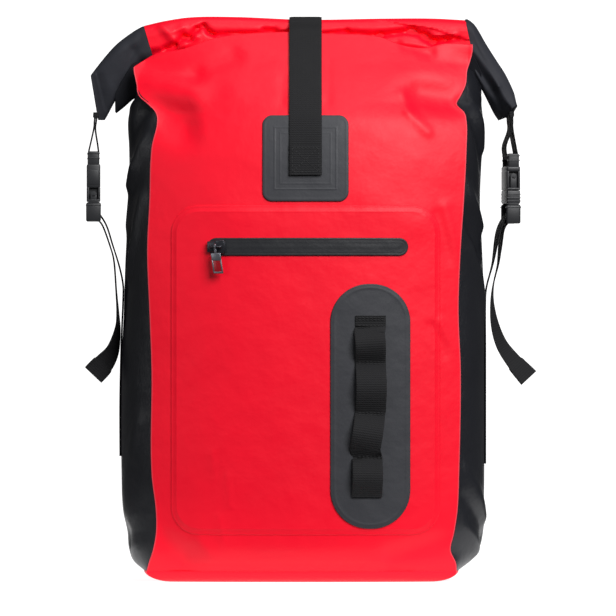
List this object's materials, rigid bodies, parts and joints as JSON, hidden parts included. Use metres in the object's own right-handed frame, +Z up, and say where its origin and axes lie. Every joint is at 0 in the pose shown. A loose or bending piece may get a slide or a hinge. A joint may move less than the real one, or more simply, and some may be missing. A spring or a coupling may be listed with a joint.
{
  "type": "waterproof roll-top backpack",
  "caption": "Waterproof roll-top backpack in welded coated fabric, with side buckles, a zipped front pocket, a daisy chain and padded shoulder straps.",
  "frame": {"origin": "middle of the flat base, on the surface the bag stands on", "axes": "+Z up, -Y out of the front with the zip pocket, +X to the right of someone looking at the front"},
  "size_m": [0.423, 0.2385, 0.5215],
  "materials": {
    "red_fabric": "smooth coated, satin",
    "black_fabric": "smooth coated, satin",
    "patch": "matte, welded",
    "webbing": "ribbed woven",
    "buckle_plastic": "moulded, fine texture",
    "zip_metal": "dark gunmetal",
    "strap_foam": "knitted mesh over foam"
  },
  "bodies": {
    "pack": {"back_panel": "red_fabric", "back_patch": "patch", "base_panel": "red_fabric", "buckle_plug_left": "buckle_plastic", "buckle_plug_right": "buckle_plastic", "buckle_socket_left": "buckle_plastic", "buckle_socket_right": "buckle_plastic", "centre_strap": "webbing", "daisy_chain": "webbing", "daisy_patch": "patch", "end_loop_left": "webbing", "end_loop_right": "webbing", "front_panel": "red_fabric", "front_pocket": "red_fabric", "haul_loop": "webbing", "lower_patch_left": "patch", "lower_patch_right": "patch", "roll_end_left": "black_fabric", "roll_end_right": "black_fabric", "shoulder_buckle_left": "buckle_plastic", "shoulder_buckle_right": "buckle_plastic", "shoulder_strap_left": "strap_foam", "shoulder_strap_right": "strap_foam", "shoulder_web_left": "webbing", "shoulder_web_right": "webbing", "side_fold_left": "black_fabric", "side_fold_right": "black_fabric", "side_panel_left": "black_fabric", "side_panel_right": "black_fabric", "side_strap_left": "webbing", "side_strap_right": "webbing", "strap_patch": "patch", "top_roll": "red_fabric", "zip_slider": "zip_metal", "zip_tape": "patch"},
    "zip_pull": {"zip_pull": "zip_metal"}
  },
  "joints": [
    {"name": "zip_pull_swing", "type": "hinge", "parent": "pack", "child": "zip_pull", "pos_m": [-0.08129, -0.09538, 0.30811], "axis": [-0.9851, 0.1719, 0], "range_deg": [-8, 170]}
  ]
}
